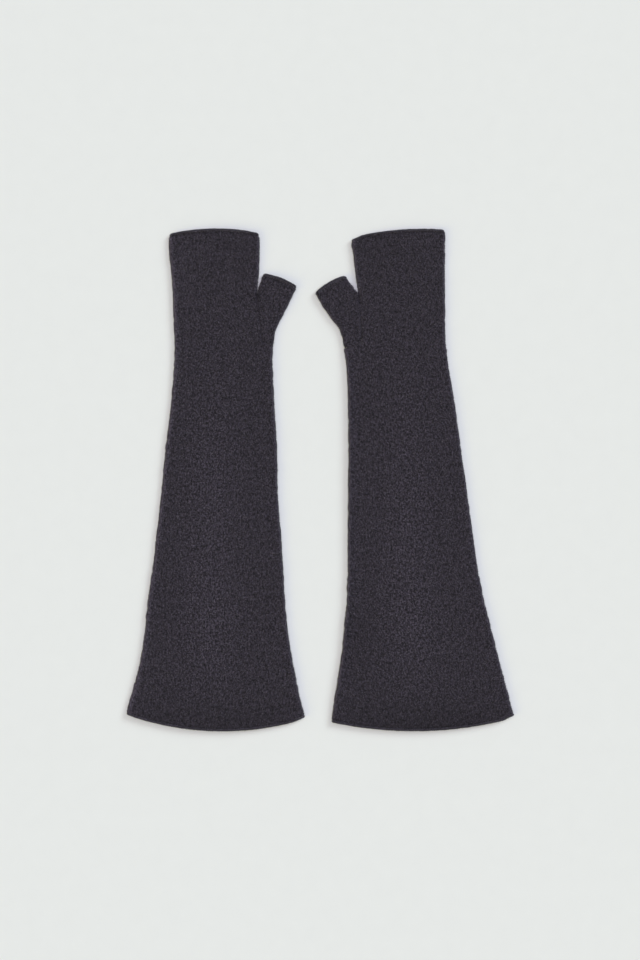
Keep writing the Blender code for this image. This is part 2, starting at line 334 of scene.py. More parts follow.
LEFT = Warmer(
    hand="left",
    side=-1,
    courses=LEFT_COURSES,
    thumb=LEFT_THUMB,
    open_from=(128.6, 129.8),
    open_to=(177.7, 180.2),
    back_creases=LEFT_BACK_CREASES,
    palm_creases=LEFT_PALM_CREASES,
    nap=LEFT_NAP_AND_SHADE,
    seam_depth=0.24,
    thumb_side_lift=0.3,
    outer_corners=(Corner(3.2, 0.4), Corner(3.2, 0.0)),
    thumb_corners=(Corner(2.4, 1.8), Corner(2.8, 0.4)),
    outer_fold=Fold(1.70, 2.9),
    thumb_fold=Fold(0.80, 1.9),
    rim_reach={"finger": 0.0, "arm": -0.35, "thumb": 0.4},
)
RIGHT = Warmer(
    hand="right",
    side=1,
    courses=RIGHT_COURSES,
    thumb=RIGHT_THUMB,
    open_from=(125.7, 127.3),
    open_to=(176.2, 178.7),
    back_creases=RIGHT_BACK_CREASES,
    palm_creases=RIGHT_PALM_CREASES,
    nap=RIGHT_NAP_AND_SHADE,
    seam_depth=0.62,
    thumb_side_lift=1.1,
    outer_corners=(Corner(1.6, 2.3), Corner(3.2, 0.0)),
    thumb_corners=(Corner(2.8, 0.0), Corner(1.2, 2.1)),
    outer_fold=Fold(0.80, 1.9),
    thumb_fold=Fold(1.60, 2.1),
    rim_reach={"finger": -0.1, "arm": -0.35, "thumb": 0.7},
)

# A surface in the making: its points in mm, the place of each in the knit (mm across, mm along and
# a number for the piece), and its lightness and contrast: the nap's, with painted light and shade
# added to the lightness.
Surface = namedtuple("Surface", "points knit nap")


def eased(value):
    """0 below 0, 1 above 1 and a smooth step between."""
    value = np.clip(value, 0.0, 1.0)
    return value * value * (3 - 2 * value)


def curve_through(knots, values, at):
    """A smooth curve with no overshoot through (knots, values), read at the places in at."""
    knots, values = np.asarray(knots, float), np.asarray(values, float)
    steps = np.diff(knots)
    slopes = np.diff(values) / steps
    before, after = slopes[:-1], slopes[1:]
    same_way = before * after > 0
    weight_before = 2 * steps[1:] + steps[:-1]
    weight_after = steps[1:] + 2 * steps[:-1]
    safe_before = np.where(same_way, before, 1.0)
    safe_after = np.where(same_way, after, 1.0)
    mean = (weight_before + weight_after) / (weight_before / safe_before + weight_after / safe_after)
    leans = np.concatenate([slopes[:1], np.where(same_way, mean, 0.0), slopes[-1:]])
    k = np.clip(np.searchsorted(knots, at) - 1, 0, len(steps) - 1)
    t = (at - knots[k]) / steps[k]
    rise = values[k + 1] - values[k]
    lean_in, lean_out = leans[k] * steps[k], leans[k + 1] * steps[k]
    return values[k] + t * (
        lean_in + t * (3 * rise - 2 * lean_in - lean_out + t * (lean_in + lean_out - 2 * rise))
    )


def wobble(x, y, cell, seed):
    """Smooth noise from -1 to 1, with a new value about every cell millimetres."""
    size = 256
    values = np.random.default_rng(seed).uniform(-1, 1, (size, size))
    u, v = x / cell, y / cell
    i, j = np.floor(u).astype(int), np.floor(v).astype(int)
    f, g = eased(u - i), eased(v - j)
    low = values[i % size, j % size] * (1 - f) + values[(i + 1) % size, j % size] * f
    high = values[i % size, (j + 1) % size] * (1 - f) + values[(i + 1) % size, (j + 1) % size] * f
    return low * (1 - g) + high * g


def lumps(sets, x, y, seed, level=0.0):
    """This level made uneven by sets of lumps, in mm."""
    return sum((lump.size * wobble(x, y, lump.cell, seed + k) for k, lump in enumerate(sets)), level)


def corner_inset(distance, corner):
    """How far a rounded corner is in from the side, at this distance from the end."""
    left = corner.radius - np.clip(distance, 0, corner.radius)
    return corner.radius - np.sqrt(corner.radius**2 - left**2)


def unit(vectors):
    return vectors / np.maximum(np.linalg.norm(vectors, axis=-1, keepdims=True), 1e-9)


def stacked(*parts):
    """Arrays or numbers of one shape side by side on a new last axis."""
    return np.stack(np.broadcast_arrays(*parts), axis=-1)


def corner_drop(corner, from_side, from_end):
    """How far a warmer's end is drawn back beside a corner."""
    return corner.drop * np.exp(-((from_side / DROP_WIDTH) ** 2)) * (1 - eased(from_end / DROP_LENGTH))


def normals(points):
    """Unit normals of a grid of points, to the left of the way from a row to the next."""
    return unit(np.cross(np.gradient(points, axis=1), np.gradient(points, axis=0)))


def wrapped(points, axis):
    """A closed run with its last place again before its first, and its first after its last."""
    return points.take(range(-1, points.shape[axis] + 1), axis=axis, mode="wrap")


def above_floor(points, height=0.0):
    """Lifts the points that would be lower than this."""
    points[..., 2] = np.maximum(points[..., 2], height)
    return points


def column(rows, name, at):
    """One column of a table, as a curve over its first column, read at the places in at."""
    return curve_through([row[0] for row in rows], [getattr(row, name) for row in rows], at)


def course_width(warmer, along):
    return column(warmer.courses, "outer", along) - column(warmer.courses, "thumb", along)


def knit_width(warmer, along):
    """The width that the wales are spread over, which takes no notice of the thumb's opening."""
    low, high = warmer.open_from[0], warmer.open_to[1]
    closed = [course for course in warmer.courses if not low < course.along < high]
    widths = [course.outer - course.thumb for course in closed]
    return curve_through([course.along for course in closed], widths, along)


def course_place(warmer, along, distance):
    """Plan x and y of the point this distance in from the outer side of each course, corners rounded."""
    outer, width = column(warmer.courses, "outer", along), course_width(warmer, along)
    from_ends = (along - warmer.courses[0].along, warmer.courses[-1].along - along)
    outer_inset, thumb_inset = (
        sum(corner_inset(from_end, corner) for from_end, corner in zip(from_ends, corners))
        for corners in (warmer.outer_corners, warmer.thumb_corners)
    )
    share = (outer_inset + distance * (1 - (outer_inset + thumb_inset) / width)) / width
    t = 2 * share - 1
    y = along + column(warmer.courses, "skew", along) / 2 * t
    y = y + column(warmer.courses, "bow", along) * (1 - t * t)
    drawn = 0
    for end, inwards in ((0, 1), (1, -1)):
        drawn = drawn + inwards * corner_drop(warmer.outer_corners[end], distance, from_ends[end])
        drawn = drawn + inwards * corner_drop(warmer.thumb_corners[end], width - distance, from_ends[end])
    return warmer.side * (outer - width * share), y + drawn


def layer_section(width, depth, split, folded, columns):
    """Distance in and height of one layer, this depth under its outside, a row for each width.

    It turns down to the middle plane at its first side, and at its last side where folded is 1.
    """
    turn = np.linspace(0, pi / 2, FOLD_STEPS + 1)[None]
    radius = HALF - depth
    reach = depth + radius * (1 - np.cos(turn))
    rise = split + (radius - split) * np.sin(turn)
    flat = HALF * np.linspace(0, 1, FOLD_STEPS + 1)[None]
    first = reach + 0 * width
    last = flat + (reach - flat) * folded + 0 * width
    middle = np.linspace(0, 1, columns + 1)[None, 1:-1]
    start, end = first[:, -1:], width - last[:, -1:]
    distance = np.concatenate([first, start + (end - start) * middle, (width - last)[:, ::-1]], axis=1)
    last_height = radius + (rise - radius) * folded + 0 * width
    level = radius + 0 * (width + middle)
    return distance, np.concatenate([rise + 0 * width, level, last_height[:, ::-1]], axis=1)


def crease_height(creases, side, x, y):
    """The height that a table of creases adds at each place."""
    total = np.zeros_like(x)
    for crease in creases:
        start = np.array([side * crease.start_x, crease.start_y])
        run = np.array([side * crease.end_x, crease.end_y]) - start
        length = np.hypot(*run)
        along = ((x - start[0]) * run[0] + (y - start[1]) * run[1]) / length
        across = ((y - start[1]) * run[0] - (x - start[0]) * run[1]) / length
        bent = np.sin(CREASE_ARC * np.clip(along / length, 0, 1))
        across = across + CREASE_BEND * length * bent - CREASE_BEND / 2 * length
        beyond = np.maximum(0, np.maximum(-along, along - length))
        total += crease.depth * np.exp(-((across / crease.width) ** 2) - (beyond / (2 * crease.width)) ** 2)
    return total


def nap_and_shade_at(warmer, points):
    """Lightness and contrast at each point, from the nap and from painted shade in the creases."""
    lightness = contrast = 1
    for patch in warmer.nap:
        across = (points[..., 0] - warmer.side * patch.x) / patch.wide
        near = np.exp(-(across**2 + ((points[..., 1] - patch.y) / patch.tall) ** 2))
        lightness = lightness + patch.lightness * near
        contrast = contrast + patch.contrast * near
    return stacked(lightness, contrast, 0.0)


def fold_lumps(distance, v, seed):
    """The unevenness of a folded side, this far from its edge: it makes the outline bumpy."""
    return (lumps(FOLD_LUMPS, distance, v, seed) - FOLD_SUNK) * np.exp(-((distance / FOLD_REACH) ** 2))


def painted_fold_light(fold, distance):
    """The painted light on a fold, as a share of its lightness, this far in from its edge."""
    return fold.light * np.exp(-((distance / fold.reach) ** 2))


def dip(distance):
    """The share of a seam's or rim's dip that is left at this distance from it."""
    return 1 - eased(distance / DIP_WIDTH)


def painted_groove_shade(end, distance):
    """The painted shade in the dip beside a rim, as a share of its lightness, this far from the rim."""
    return GROOVE_PAINTED_SHADE[end] * (1 - eased((distance - GROOVE_HALF) / GROOVE_FADE))


def panel_rows(warmer, step):
    """The courses that a panel is modelled at: closer together where its edges turn quickly."""
    first = warmer.courses[0].along + RIM_WIDTH + CLOSED_GAP
    last = warmer.courses[-1].along - RIM_WIDTH - CLOSED_GAP
    turns = np.array([first, *warmer.open_from, *warmer.open_to, last])
    rows = [first]
    while rows[-1] < last:
        away = np.abs(turns - rows[-1] - FINE_STEP).min()
        rows.append(rows[-1] + min(step, FINE_STEP + STEP_GROWTH * away))
    return np.array(rows[:-1] + [last])[:, None]


def panel_surface(warmer, facing, along, columns, depth, creases, seed):
    """The outside of a panel (depth 0), or its inside (depth WALL), with a row for each course."""
    ramps = (warmer.open_from, warmer.open_to)
    opened, closed = (eased((along - low) / (high - low)) for low, high in ramps)
    folded = 1 - opened + closed
    width = course_width(warmer, along)
    distance, height = layer_section(width, depth, CLOSED_GAP / 2, folded, columns)
    from_thumb = width - distance
    x, y = course_place(warmer, along, distance)
    if facing > 0:
        arch = np.sin(pi * np.clip(distance / width, 0, 1))
        height = height + column(warmer.courses, "crown", along) * arch
        near_side = np.exp(-(((from_thumb - LIFT_IN) / LIFT_WIDTH) ** 2)) * folded
        below_thumb = eased((warmer.open_from[0] - along) / LIFT_FADE_THUMB)
        below_thumb = below_thumb * eased((along - warmer.courses[0].along) / LIFT_FADE_ARM)
        height = height + warmer.thumb_side_lift * near_side * below_thumb * eased(height / HALF)
    points = stacked(x, y, HALF + facing * height)
    nap = nap_and_shade_at(warmer, points)
    u = distance - knit_width(warmer, along) / 2
    u = u + (HALF - height) * np.sign(distance - width / 2)
    v = along + 0 * u
    if depth == 0:
        outward = normals(points)
        outward *= np.sign(outward[len(along) // 2, columns // 2, 2]) * facing
        lift = lumps(FELT_LUMPS, u, v, seed) + crease_height(creases, warmer.side, x, y)
        lift += fold_lumps(np.minimum(distance, from_thumb), v, seed + 5)
        lift -= warmer.seam_depth * (1 - folded) * dip(from_thumb)
        lift -= RIM_GROOVE * dip(np.minimum(v - along[0], along[-1] - v))
        points = points + outward * lift[..., None]
    # Painted light on the folds, and painted shade in the dips beside the rims.
    nap[..., 0] += painted_fold_light(warmer.outer_fold, distance)
    nap[..., 0] += painted_fold_light(warmer.thumb_fold, from_thumb) * folded
    nap[..., 0] -= painted_groove_shade("arm", v - along[0]) + painted_groove_shade("finger", along[-1] - v)
    return Surface(above_floor(points), stacked(u, v, seed), nap)


def corner_faces(corners, flip):
    """Faces from arrays of the numbers of their corners, one array for each corner."""
    faces = np.stack(corners, axis=-1).reshape(-1, len(corners))
    return (faces[:, ::-1] if flip else faces).tolist()


def grid_faces(index, flip=False):
    """The quads between neighbouring points of a grid of point numbers."""
    return corner_faces([index[:-1, :-1], index[:-1, 1:], index[1:, 1:], index[1:, :-1]], flip)


def linked(name, data):
    """A new object in the scene."""
    made = bpy.data.objects.new(name, data)
    bpy.context.scene.collection.objects.link(made)
    return made


def make_mesh(name, surfaces, faces, material):
    """A mesh of these surfaces' points, in order, with their knit and nap as attributes."""
    points, knit, nap = (
        np.concatenate([part.reshape(-1, 3) for part in parts]) for parts in zip(*surfaces)
    )
    mesh = bpy.data.meshes.new(name)
    mesh.from_pydata((points * MM).tolist(), [], faces)
    mesh.update()
    for label, values in (("knit", knit), ("nap", nap)):
        attribute = mesh.attributes.new(label, "FLOAT_VECTOR", "POINT")
        attribute.data.foreach_set("vector", values.astype(np.float32).ravel())
    mesh.polygons.foreach_set("use_smooth", [True] * len(mesh.polygons))
    mesh.materials.append(material)
    return linked(name, mesh)


def make_panel(name, warmer, facing, creases, seed, material):
    """A closed panel: its outside, a coarser inside, and the edges between them."""
    along = panel_rows(warmer, ROW_STEP if facing > 0 else PALM_ROW_STEP)
    columns = BACK_COLUMNS if facing > 0 else PALM_COLUMNS
    outside, inside = (
        panel_surface(warmer, facing, along, columns, depth, creases, seed) for depth in (0, WALL)
    )
    inside = Surface(*(part[:, ::2] for part in inside))
    flip = facing * warmer.side < 0
    shape = outside.points.shape[:2]
    outer = np.arange(np.prod(shape)).reshape(shape)
    inner = outer.size + np.arange(inside.points[..., 0].size).reshape(len(along), -1)
    faces = grid_faces(outer, not flip) + grid_faces(inner, flip)
    for side, turned in ((0, flip), (-1, not flip)):
        top, under = outer[:, side], inner[:, side]
        faces += corner_faces([top[:-1], top[1:], under[1:], under[:-1]], turned)
    for row, turned in ((0, not flip), (-1, flip)):
        top, under = outer[row], inner[row]
        faces += corner_faces([top[:-2:2], top[1:-1:2], top[2::2], under[1:], under[:-1]], turned)
    return make_mesh(name, (outside, inside), faces, material)


def seam_line(warmer, shares):
    """The thumb's side of its seam, from the crotch (share 0) to the base of the gusset (share 1)."""
    along = np.linspace(warmer.open_to[1], warmer.open_from[0], 400)
    edge = stacked(column(warmer.courses, "thumb", along), along)
    run = unit(np.gradient(edge, axis=0))
    edge += CLOSED_GAP * stacked(run[:, 1], -run[:, 0])
    lengths = np.concatenate([[0], np.cumsum(np.linalg.norm(np.diff(edge, axis=0), axis=1))])
    at = shares * lengths[-1]
    return np.interp(at, lengths, edge[:, 0]), np.interp(at, lengths, edge[:, 1])


def thumb_ends(warmer, share):
    """Both ends of the thumb's courses and their bow: hand x and y, outer x and y, bow."""
    seam_x, seam_y = seam_line(warmer, np.array([0.0, 1.0]))
    start = ThumbCourse(0.0, seam_x[0], seam_y[0], seam_x[1], seam_y[1], 0.0)
    rows = (start, *warmer.thumb)
    return [column(rows, name, share) for name in ThumbCourse._fields[1:]]


def thumb_width(warmer, share):
    hand, hand_y, outer, outer_y, _ = thumb_ends(warmer, share)
    return np.hypot(outer - hand, outer_y - hand_y)


def thumb_place(warmer, share, distance, inset=0.0):
    """Plan x and y of the point this distance in from the hand side of each thumb course."""
    hand, hand_y, outer, outer_y, bow = thumb_ends(warmer, share)
    run_x, run_y = outer - hand, outer_y - hand_y
    width = np.hypot(run_x, run_y)
    u = (inset + distance * (1 - 2 * inset / width)) / width
    seam_x, seam_y = seam_line(warmer, np.clip(u, 0, 1))
    ends_x, ends_y = seam_line(warmer, np.array([0.0, 1.0]))
    arch = bow * 4 * u * (1 - u) / width
    left = 1 - share
    x = hand + run_x * u + arch * run_y + left * (seam_x - ends_x[0] - (ends_x[1] - ends_x[0]) * u)
    y = hand_y + run_y * u - arch * run_x + left * (seam_y - ends_y[0] - (ends_y[1] - ends_y[0]) * u)
    return warmer.side * x, y


def tube_points(place, width, depth, columns, crown=0.0):
    """Points round a flattened tube, row by row: over the upper layer and back along the lower one.

    Returns them with the distance round the tube at each.
    """
    distance, height = layer_section(width, depth, 0.0, 1.0, columns)
    x, y = place(distance)
    arch = np.sin(pi * np.clip(distance / width, 0, 1)) * crown
    upper = stacked(x, y, HALF + height + arch)
    lower = stacked(x, y, HALF - height)
    points = np.concatenate([upper, lower[:, -2:0:-1]], axis=1)
    steps = np.linalg.norm(np.diff(points, axis=1, append=points[:, :1]), axis=2)
    return points, np.cumsum(steps, axis=1) - steps


def tip_share(warmer, distance):
    """The share of a thumb's length that lies this distance short of its tip."""
    before, tip = warmer.thumb[-2], warmer.thumb[-1]
    per_mm = (tip.share - before.share) / np.hypot(tip.hand - before.hand, tip.hand_y - before.hand_y)
    return 1 - distance * per_mm


def thumb_knit(warmer, points, seed):
    """Places in the thumb's knit: mm across it and along it, with the folds unrolled."""
    tip = warmer.thumb[-1]
    run = np.array([warmer.side * (tip.outer - tip.hand), tip.outer_y - tip.hand_y])
    run /= np.hypot(*run)
    u = points[..., 0] * run[0] + points[..., 1] * run[1]
    v = points[..., 1] * run[0] - points[..., 0] * run[1]
    drop = HALF - np.abs(points[..., 2] - HALF)
    u = u + drop * np.sign(u - u.mean(axis=1, keepdims=True))
    return stacked(u, v, seed)


def make_thumb(name, warmer, seed, material):
    """A thumb: its outside and inside, joined at the seam and at the tip."""
    last = tip_share(warmer, RIM_WIDTH + CLOSED_GAP)
    reach = 0.5 * np.hypot(warmer.thumb[-1].outer - warmer.courses[GUSSET_COURSE].thumb, GUSSET_RISE)
    body = np.linspace(2.6 / reach, last - 2.0 / reach, int(reach / THUMB_STEP))
    share = np.concatenate([THUMB_FIRST_ROWS / reach, body, last - THUMB_LAST_ROWS / reach])[:, None]
    place, width = partial(thumb_place, warmer, share), thumb_width(warmer, share)
    crown = THUMB_CROWN * np.sin(pi * share)
    surfaces = []
    for depth in (0.0, WALL):
        points, around = tube_points(place, width, depth, THUMB_COLUMNS, crown)
        half_way = around.max(axis=1, keepdims=True) / 2
        to_fold = np.minimum(np.minimum(around, 2 * half_way - around), np.abs(around - half_way))
        u = around - half_way
        v = share * reach + 0 * u
        to_rim = v[-1:] - v
        if depth == 0:
            outward = normals(wrapped(points, 1))[:, 1:-1]
            outward *= np.sign(outward[len(share) // 2, THUMB_COLUMNS // 2, 2])
            lift = lumps(FELT_LUMPS, u, v, seed) + fold_lumps(to_fold, v, seed + 5) * eased(v / 6)
            lift -= warmer.seam_depth * dip(v)
            lift -= RIM_GROOVE * dip(to_rim)
            points = points + outward * lift[..., None]
        above_floor(points)
        nap = nap_and_shade_at(warmer, points)
        # Painted light on the thumb's folds, and painted shade in the dip beside its rim.
        nap[..., 0] += painted_fold_light(warmer.thumb_fold, to_fold) * eased(v / 3)
        nap[..., 0] -= painted_groove_shade("thumb", to_rim)
        surfaces.append(Surface(points, thumb_knit(warmer, points, seed), nap))
    flip = warmer.side > 0
    outer, inner = np.arange(2 * u.size).reshape(2, *u.shape)
    faces = grid_faces(wrapped(outer, 1)[:, 1:], flip) + grid_faces(wrapped(inner, 1)[:, 1:], not flip)
    for row, turned in ((0, flip), (-1, not flip)):
        top, under = outer[row], inner[row]
        faces += corner_faces([top, under, np.roll(under, -1), np.roll(top, -1)], turned)
    return make_mesh(name, surfaces, faces, material)


# A rim's section as it runs round an opening: distance in from the end, and depth under the outside.
RIM_SECTION = (
    (2.40, 0.60),
    (2.05, 0.16),
    (1.40, -0.06),
    (0.70, -0.02),
    (0.20, 0.35),
    (0.00, 0.95),
    (0.15, 1.60),
    (0.60, 2.00),
    (1.80, 2.05),
    (2.40, 1.75),
)


def rim_ring(warmer, end, distance, depth, columns):
    """Points round a rim, and the way round to each, at one distance from its end and one depth."""
    inset = corner_inset(distance, THUMB_CORNER)
    distance = distance - warmer.rim_reach[end] * (1 - distance / RIM_WIDTH)
    if end == "thumb":
        share = np.array([[tip_share(warmer, distance)]])
        place, width = partial(thumb_place, warmer, share, inset=inset), thumb_width(warmer, share)
    else:
        ways_in = {"arm": warmer.courses[0].along + distance, "finger": warmer.courses[-1].along - distance}
        along = np.array([[ways_in[end]]])
        place, width = partial(course_place, warmer, along), course_width(warmer, along)
    points, around = tube_points(place, width, depth, columns)
    return points[0], around[0]


def rim_columns(warmer, end):
    """How many columns give a rim points about RIM_STEP apart."""
    return int(rim_ring(warmer, end, 1.0, 0.0, 20)[1][-1] / 2 / RIM_STEP)


def make_rim(name, warmer, end, seed, material):
    """A rim: a lumpy rolled edge round an opening."""
    columns = rim_columns(warmer, end)
    rings = [rim_ring(warmer, end, distance, depth, columns) for distance, depth in RIM_SECTION]
    points = np.stack([ring[0] for ring in rings])
    around = np.stack([rings[0][1]] * len(rings))
    outward = normals(wrapped(wrapped(points, 0), 1))[1:-1, 1:-1]
    outward *= np.sign(outward[2, columns // 2, 2])
    steps = np.linalg.norm(np.diff(RIM_SECTION, axis=0), axis=1)
    v = np.concatenate([[0], np.cumsum(steps)])[:, None] + 0 * around
    lift = lumps(RIM_LUMPS, around, v, seed, CHAIN_LUMP * np.cos(2 * pi * around / CHAIN_PITCH))
    points = above_floor(points + outward * lift[..., None])
    nap = nap_and_shade_at(warmer, points)
    # Painted light on the arm rim.
    nap[..., 0] *= RIM_PAINTED_LIGHT[end]
    surface = Surface(points, stacked(around, v, seed), nap)
    index = np.arange(around.size).reshape(around.shape)
    faces = grid_faces(wrapped(wrapped(index, 0), 1)[1:, 1:], (warmer.side > 0) == (end != "arm"))
    return make_mesh(name, (surface,), faces, material)


# A lobe of yarn: the share of its length and of its radius at each of its rings.
LOBE_RINGS = ((0.10, 0.60), (0.34, 1.0), (0.66, 1.0), (0.90, 0.60))
LOBE_SIDES = 6


def repeated(faces, size, count):
    """The faces of one small mesh of this many points, for each of count copies."""
    return np.concatenate(np.asarray(faces) + size * np.arange(count)[:, None, None]).tolist()


def make_lobes(name, warmer, starts, ends, outward, radius, arch, seed, material):
    """Small arched lobes of yarn, each with a place of its own in the knit's texture."""
    run = ends - starts
    beside = unit(np.cross(run, outward))
    rings = [starts[:, None]]
    for share, size in LOBE_RINGS:
        centre = starts + run * share + outward * arch * np.sin(pi * share)
        turn = 2 * pi * np.arange(LOBE_SIDES)[None, :, None] / LOBE_SIDES
        spread = beside[:, None] * np.cos(turn) + outward[:, None] * np.sin(turn)
        rings.append(centre[:, None] + radius * size * spread)
    points = np.concatenate([*rings, ends[:, None]], axis=1)
    above_floor(points, CLEAR_OF_FLOOR)
    index = wrapped(1 + np.arange(len(LOBE_RINGS) * LOBE_SIDES).reshape(-1, LOBE_SIDES), 1)[:, 1:]
    low, high = index[0], index[-1]
    count, size = points.shape[:2]
    tips = stacked(0, low[1:], low[:-1]).tolist() + stacked(size - 1, high[:-1], high[1:]).tolist()
    faces = repeated(grid_faces(index), size, count) + repeated(tips, size, count)
    knit = np.random.default_rng(seed).uniform(0, 60, (count, 1, 3)) + (points - points[:, :1])
    return make_mesh(name, (Surface(points, knit, nap_and_shade_at(warmer, points)),), faces, material)


def make_chain(name, warmer, end, seed, material):
    """The bound-off chain along a rim: pairs of lobes that meet in a V, one after another."""
    columns = rim_columns(warmer, end)

    def read(distance, depth, shares):
        """Points at these shares of the way round the rim."""
        ring, around = rim_ring(warmer, end, distance, depth, columns)
        ring = np.concatenate([ring, ring[:1]])
        knots = np.append(around / (around[-1] + np.linalg.norm(ring[-1] - ring[-2])), 1.0)
        return np.stack([np.interp(np.mod(shares, 1.0), knots, ring[:, k]) for k in range(3)], axis=-1)

    middle, way = rim_ring(warmer, end, CHAIN_MIDDLE, 0.0, columns)
    count = int((way[-1] + 1.0) / CHAIN_PITCH)
    random = np.random.default_rng(seed)
    at = (np.arange(count) + 0.12 * random.uniform(-1, 1, count)) / count
    reach = LOBE_REACH / count
    starts = np.concatenate([read(CHAIN_EDGE, 0.25, at), read(CHAIN_INNER, -0.05, at)])
    ends = np.tile(read(CHAIN_MIDDLE, -0.05, at + reach), (2, 1))
    half_way = (starts + ends) / 2
    outward = half_way - np.tile(read(CHAIN_MIDDLE, 1.2, at + reach / 2), (2, 1))
    outward = unit(outward)
    above = half_way[:, 2] > middle.mean(axis=0)[2]
    outward[:, 2] = np.where(above, np.abs(outward[:, 2]), outward[:, 2])
    jitter = random.uniform(-0.08, 0.08, starts.shape)
    starts, ends = starts + jitter, ends + jitter
    return make_lobes(name, warmer, starts, ends, outward, CHAIN_YARN, CHAIN_ARCH, seed, material)


def side_seam_stitches(warmer, at_thumb_side):
    """Starts, ends and outward directions of the linking stitches over one side seam."""
    along = np.arange(warmer.courses[0].along + 4.0, warmer.courses[-1].along - 4.0, LINK_PITCH)
    if at_thumb_side:
        along = along[(along < warmer.open_from[0] - 1) | (along > warmer.open_to[1] + 1)]
    width = course_width(warmer, along)
    x, y = course_place(warmer, along, width if at_thumb_side else 0 * width)
    way = -warmer.side if at_thumb_side else warmer.side
    outward = stacked(0 * x + way, 0, 0)
    starts, ends = (
        stacked(x, y + LINK_SLANT * half, HALF + LINK_RISE * half) - 0.12 * outward for half in (-1, 1)
    )
    return starts, ends, outward


def thumb_seam_stitches(warmer, facing):
    """Starts, ends and outward directions of the linking stitches over the thumb's seam."""
    length = warmer.open_to[1] - warmer.open_from[0]
    shares = np.linspace(0.06, 0.95, int(length / LINK_PITCH))
    flat = stacked(*seam_line(warmer, shares))
    run = unit(stacked(*seam_line(warmer, shares + 0.01)) - flat)
    across = stacked(run[:, 1], -run[:, 0])
    level = HALF + facing * (HALF - warmer.seam_depth - 0.10)
    places = [flat + across * step + run * 0.3 * step for step in LINK_ENDS]
    starts, ends = (stacked(warmer.side * place[:, 0], place[:, 1], level) for place in places)
    return starts, ends, np.tile([0.0, 0.0, facing], (len(shares), 1))


def make_links(name, warmer, seed, material):
    """The linking stitches over both side seams and over the thumb's seam, above and below."""
    parts = [side_seam_stitches(warmer, False), side_seam_stitches(warmer, True)]
    parts += [thumb_seam_stitches(warmer, 1), thumb_seam_stitches(warmer, -1)]
    starts, ends, outward = (np.concatenate(group) for group in zip(*parts))
    return make_lobes(name, warmer, starts, ends, outward, LINK_YARN, LINK_ARCH, seed, material)


def make_fuzz(name, warmer, source, growth, seed, material):
    """Short loose fibres that lie on a mesh, a few standing up: bent ribbons of three triangles each."""
    mesh = source.data
    mesh.calc_loop_triangles()
    corners = np.empty(len(mesh.loop_triangles) * 3, np.int32)
    mesh.loop_triangles.foreach_get("vertices", corners)
    points = np.empty(len(mesh.vertices) * 3, np.float32)
    mesh.vertices.foreach_get("co", points)
    points = points.reshape(-1, 3).astype(float) / MM
    a, b, c = points[corners.reshape(-1, 3).T]
    facing = np.cross(b - a, c - a)
    area = np.linalg.norm(facing, axis=1)
    facing /= np.maximum(area[:, None], 1e-9)
    weight = area * fibre_weight(a, facing)
    count = growth.fibres
    random = np.random.default_rng(seed)
    chosen = random.choice(len(area), count, p=weight / weight.sum())
    s, t = random.uniform(0, 1, (2, count, 1))
    s, t = np.where(s + t > 1, 1 - s, s), np.where(s + t > 1, 1 - t, t)
    root = a[chosen] + (b - a)[chosen] * s + (c - a)[chosen] * t
    up = facing[chosen]
    any_way = random.normal(0, 1, (count, 3))
    way = any_way - up * (any_way * up).sum(axis=1, keepdims=True)
    way = unit(way)
    beside = np.cross(up, way)
    size = growth.length * random.uniform(0.5, 1.4, (count, 1))
    rise = growth.lift * random.gamma(1.5, 0.6, (count, 1))
    curl = random.uniform(-0.8, 0.8, (count, 1)) * size
    thick = beside * (FIBRE_HALF_WIDTH * random.uniform(0.7, 1.4, (count, 1)))
    start = root + 0.02 * up
    middle = root + way * 0.55 * size + up * (0.05 + rise) + beside * curl * 0.3
    end = root + way * size + up * (0.03 + 0.6 * rise) + beside * curl
    fibre = np.stack([start - thick, start + thick, middle - thick, middle + thick, end], axis=1)
    above_floor(fibre, CLEAR_OF_FLOOR)
    faces = repeated([[0, 1, 3], [0, 3, 2], [2, 3, 4]], 5, count)
    knit = np.tile(random.uniform(0, 1, (count, 1, 1)), (1, 5, 3))
    nap = nap_and_shade_at(warmer, fibre)
    return make_mesh(name, (Surface(fibre, knit, nap),), faces, material)


def fibre_weight(places, facing):
    """How much fuzz grows at each place: none inside the tube, most on the folds."""
    height, up = places[:, 2] - HALF, facing[:, 2]
    outside = np.where(height > 0, up > -0.2, up < 0.2)
    inner = (np.abs(up) > 0.8) & (np.abs(height) < 1)
    return (outside & ~inner) * (1 + FOLD_FUZZ * (np.abs(up) < 0.8))


